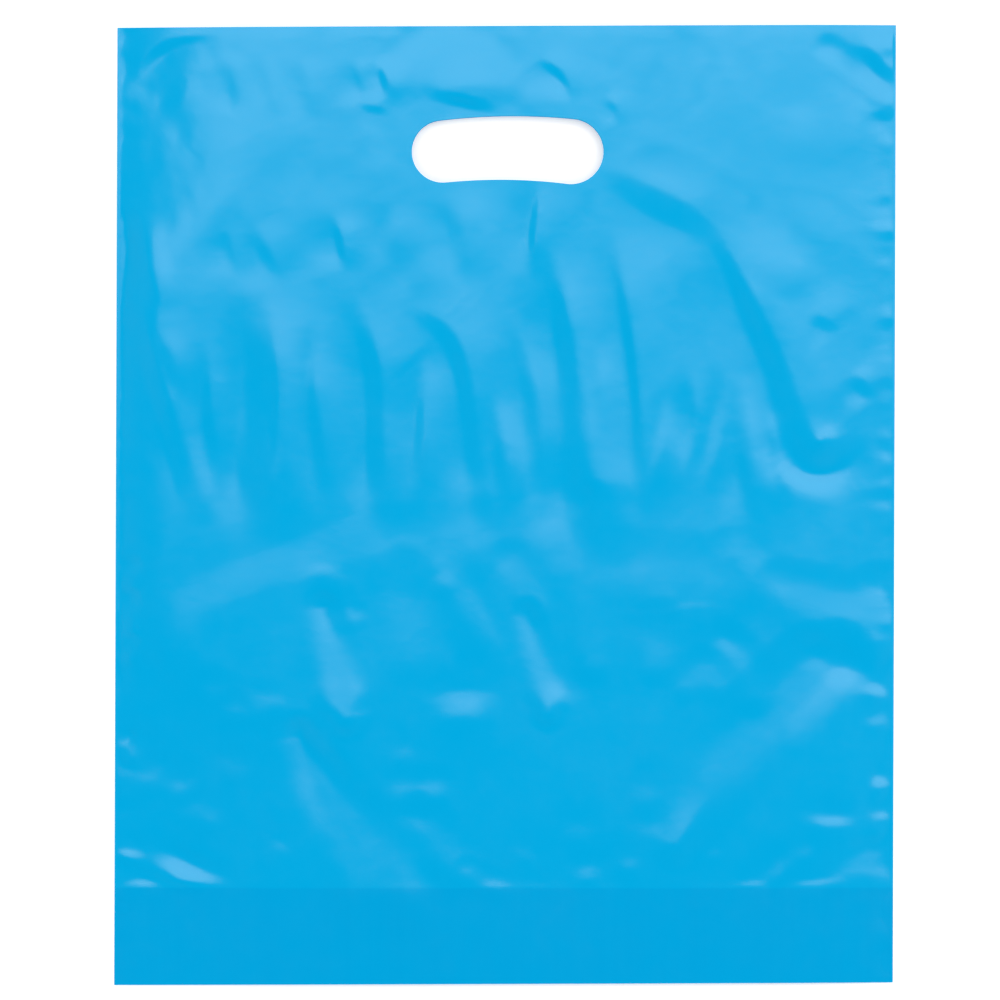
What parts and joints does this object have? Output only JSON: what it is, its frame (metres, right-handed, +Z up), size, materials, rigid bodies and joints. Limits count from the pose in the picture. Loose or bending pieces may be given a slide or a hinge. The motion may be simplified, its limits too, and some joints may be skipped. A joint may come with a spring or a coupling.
{
  "type": "plastic carrier bag",
  "caption": "Flat plastic carrier bag lying on its back, with a kidney-shaped hand hole below its open mouth, welded sides and a tucked bottom gusset.",
  "frame": {"origin": "under the middle of the bag, on the surface that it lies on", "axes": "+X across the bag to its right edge, +Y along the bag from the bottom fold to the open mouth, +Z up from the back panel to the front panel"},
  "size_m": [0.305, 0.375, 0.0114],
  "materials": {
    "blue_film": "satin low-density polyethylene film, sky blue all through"
  },
  "bodies": {
    "root": {"bag_film": "blue_film"}
  },
  "joints": []
}
